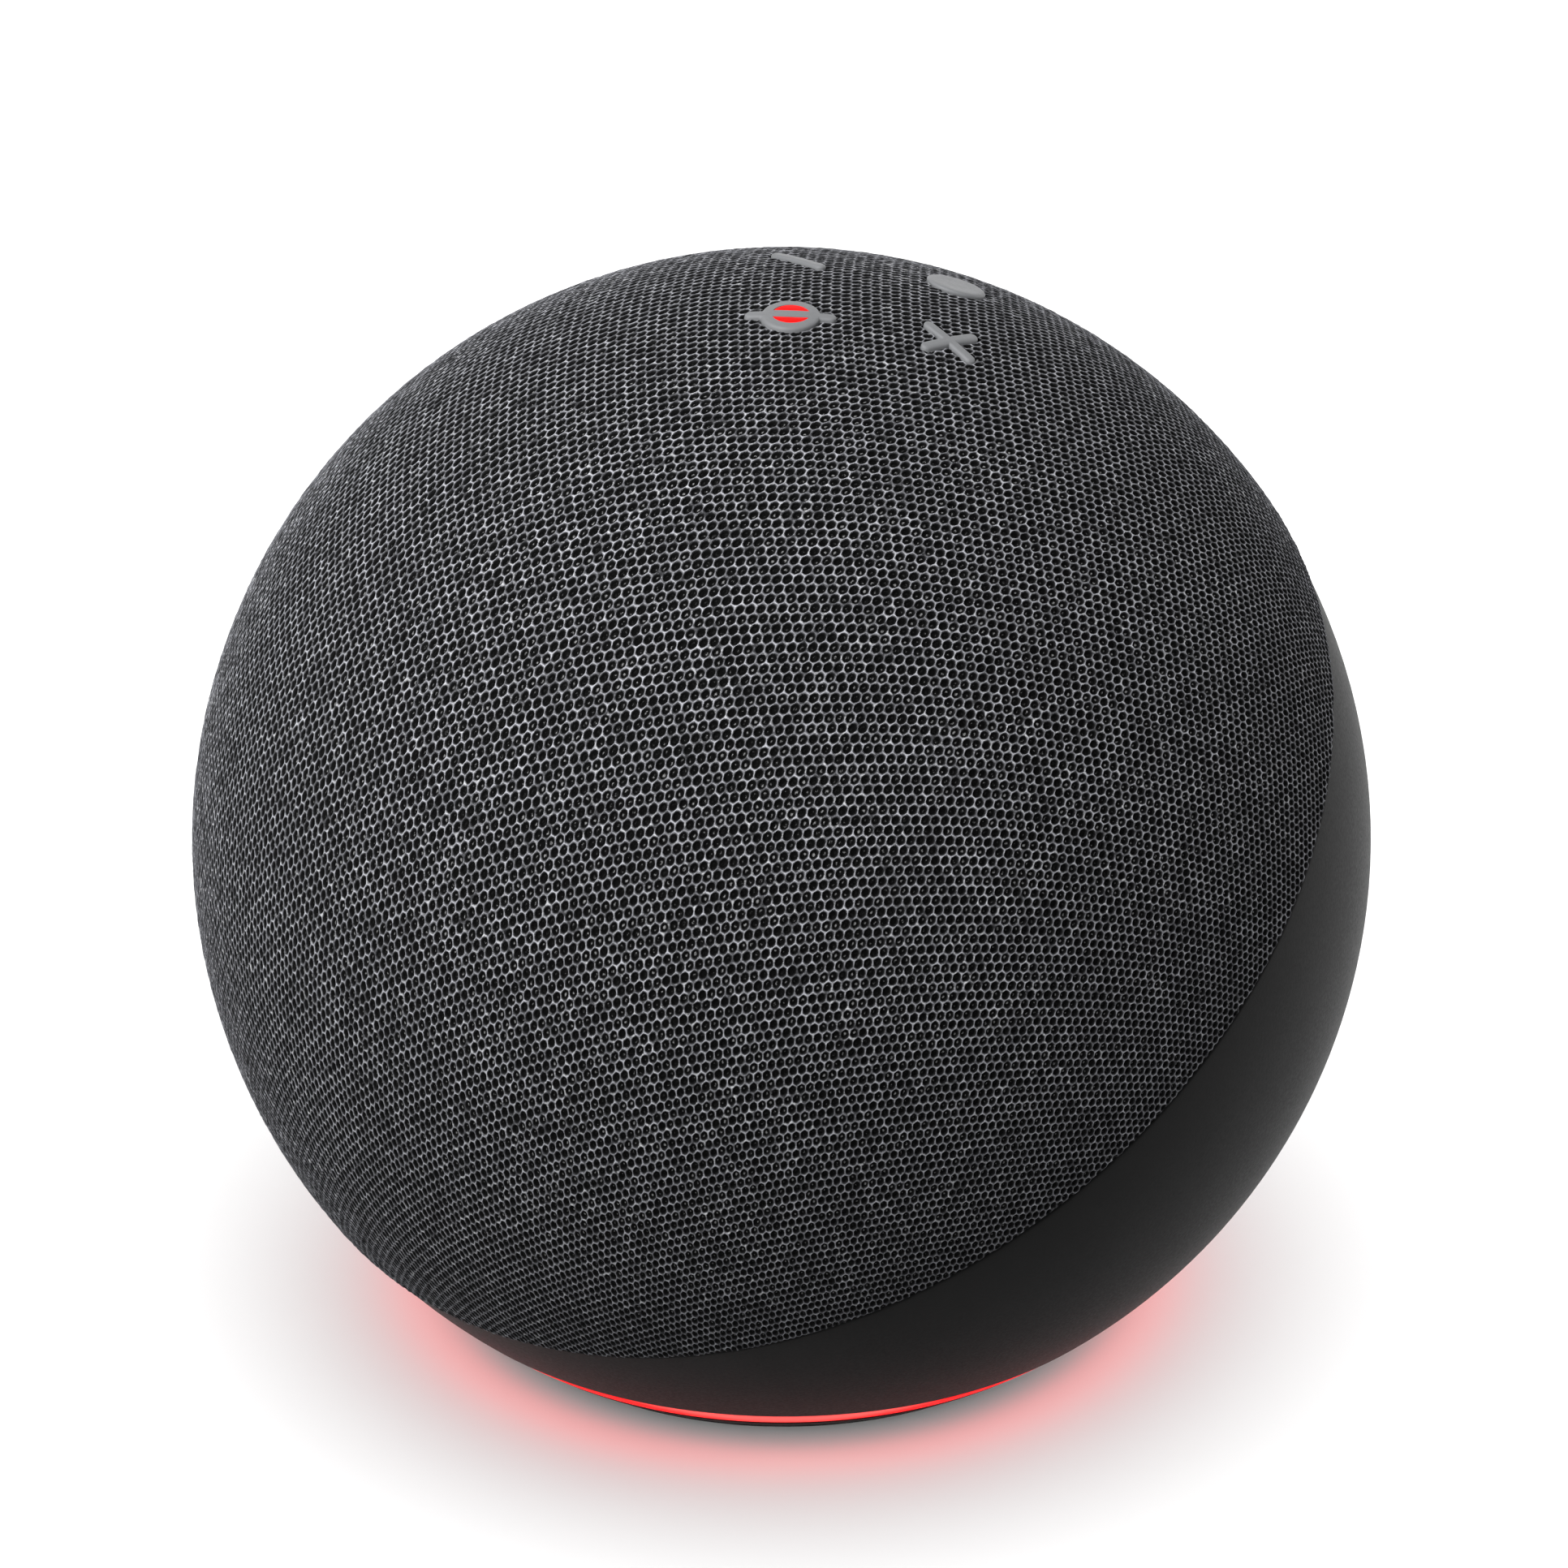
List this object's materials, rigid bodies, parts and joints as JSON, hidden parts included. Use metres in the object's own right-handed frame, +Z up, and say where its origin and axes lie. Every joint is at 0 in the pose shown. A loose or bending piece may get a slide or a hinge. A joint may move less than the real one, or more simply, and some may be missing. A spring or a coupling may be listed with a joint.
{
  "type": "smart speaker",
  "caption": "Ball-shaped smart speaker: knitted cover over the front and top, plastic shell behind and below, keys on top, light ring and rubber foot underneath.",
  "frame": {"origin": "middle of the resting face under the rubber foot", "axes": "+Z up, -Y the front that the covered side faces, +X the right side as a person facing the front sees it"},
  "size_m": [0.1432, 0.1429, 0.1334],
  "materials": {
    "knit_fabric": "open hexagonal knit of charcoal melange yarn",
    "charcoal_shell": "fine matte moulded plastic",
    "red_light_guide": "clear light guide lit red from inside",
    "black_rubber": "matte moulded rubber",
    "grey_keys": "satin soft-touch key caps",
    "circuit_board": "green solder mask on glass fibre",
    "plated_steel": "zinc plated",
    "dark_steel": "black coated pressed steel",
    "ferrite": "sintered magnet",
    "aluminium_fins": "extruded, anodised",
    "brass_insert": "machined",
    "copper_coil": "enamelled copper wire winding",
    "black_cone": "pressed fibre pulp",
    "amber_spider": "resin-set woven cloth",
    "amber_film": "polyimide film",
    "black_plastic": "moulded plastic"
  },
  "bodies": {
    "housing": {"audio_jack": "black_plastic", "baffle": "black_plastic", "baffle_screw_1": "plated_steel", "baffle_screw_2": "plated_steel", "baffle_screw_3": "plated_steel", "baffle_screw_4": "plated_steel", "base_plate": "black_plastic", "base_screw_1": "plated_steel", "base_screw_2": "plated_steel", "base_screw_3": "plated_steel", "base_screw_4": "plated_steel", "button_board": "circuit_board", "button_frame": "black_plastic", "button_ribbon_cable": "amber_film", "fabric_clamp_ring": "black_plastic", "fabric_cover": "knit_fabric", "grille": "black_plastic", "heat_sink": "aluminium_fins", "led_board": "circuit_board", "light_ring": "red_light_guide", "main_board": "circuit_board", "microphone_1": "plated_steel", "microphone_2": "plated_steel", "microphone_3": "plated_steel", "microphone_4": "plated_steel", "power_jack": "black_plastic", "rear_shell": "charcoal_shell", "rubber_foot": "black_rubber", "speaker_enclosure": "black_plastic", "switch_action": "dark_steel", "switch_mute": "dark_steel", "switch_volume_down": "dark_steel", "switch_volume_up": "dark_steel", "tripod_insert": "brass_insert", "tweeter_left_frame": "black_plastic", "tweeter_left_magnet": "ferrite", "tweeter_right_frame": "black_plastic", "tweeter_right_magnet": "ferrite", "wifi_antenna": "circuit_board", "woofer_basket": "dark_steel", "woofer_gasket": "black_rubber", "woofer_magnet": "ferrite", "woofer_screw_1": "plated_steel", "woofer_screw_2": "plated_steel", "woofer_screw_3": "plated_steel", "woofer_screw_4": "plated_steel", "woofer_spider": "amber_spider", "woofer_surround": "black_rubber", "woofer_top_plate": "plated_steel", "woofer_yoke": "plated_steel"},
    "volume_up": {"volume_up_button": "grey_keys"},
    "volume_down": {"volume_down_button": "grey_keys"},
    "action_key": {"action_button": "grey_keys"},
    "mute_key": {"mute_button": "grey_keys", "mute_light_lens": "red_light_guide"},
    "woofer_diaphragm": {"woofer_cone": "black_cone", "woofer_dust_cap": "black_cone", "woofer_voice_coil": "copper_coil"},
    "tweeter_left_diaphragm": {"tweeter_left_dome": "black_cone"},
    "tweeter_right_diaphragm": {"tweeter_right_dome": "black_cone"}
  },
  "joints": [
    {"name": "volume_up_press", "type": "slide", "parent": "housing", "child": "volume_up", "axis": [0, -0.2036, -0.979], "range_m": [0, 0.0007], "stiffness_N_per_m": 1000},
    {"name": "volume_down_press", "type": "slide", "parent": "housing", "child": "volume_down", "axis": [0, -0.2036, -0.979], "range_m": [0, 0.0007], "stiffness_N_per_m": 1000},
    {"name": "action_press", "type": "slide", "parent": "housing", "child": "action_key", "axis": [0, -0.2036, -0.979], "range_m": [0, 0.0007], "stiffness_N_per_m": 1000},
    {"name": "mute_press", "type": "slide", "parent": "housing", "child": "mute_key", "axis": [0, -0.2036, -0.979], "range_m": [0, 0.0007], "stiffness_N_per_m": 1000},
    {"name": "woofer_travel", "type": "slide", "parent": "housing", "child": "woofer_diaphragm", "axis": [0, -0.5606, 0.8281], "range_m": [-0.003, 0.003], "stiffness_N_per_m": 1500, "deforming": ["woofer_surround", "woofer_spider"]},
    {"name": "tweeter_left_travel", "type": "slide", "parent": "housing", "child": "tweeter_left_diaphragm", "axis": [-0.5649, -0.8067, 0.1736], "range_m": [-0.0003, 0.0003], "stiffness_N_per_m": 600},
    {"name": "tweeter_right_travel", "type": "slide", "parent": "housing", "child": "tweeter_right_diaphragm", "axis": [0.5649, -0.8067, 0.1736], "range_m": [-0.0003, 0.0003], "stiffness_N_per_m": 600}
  ]
}
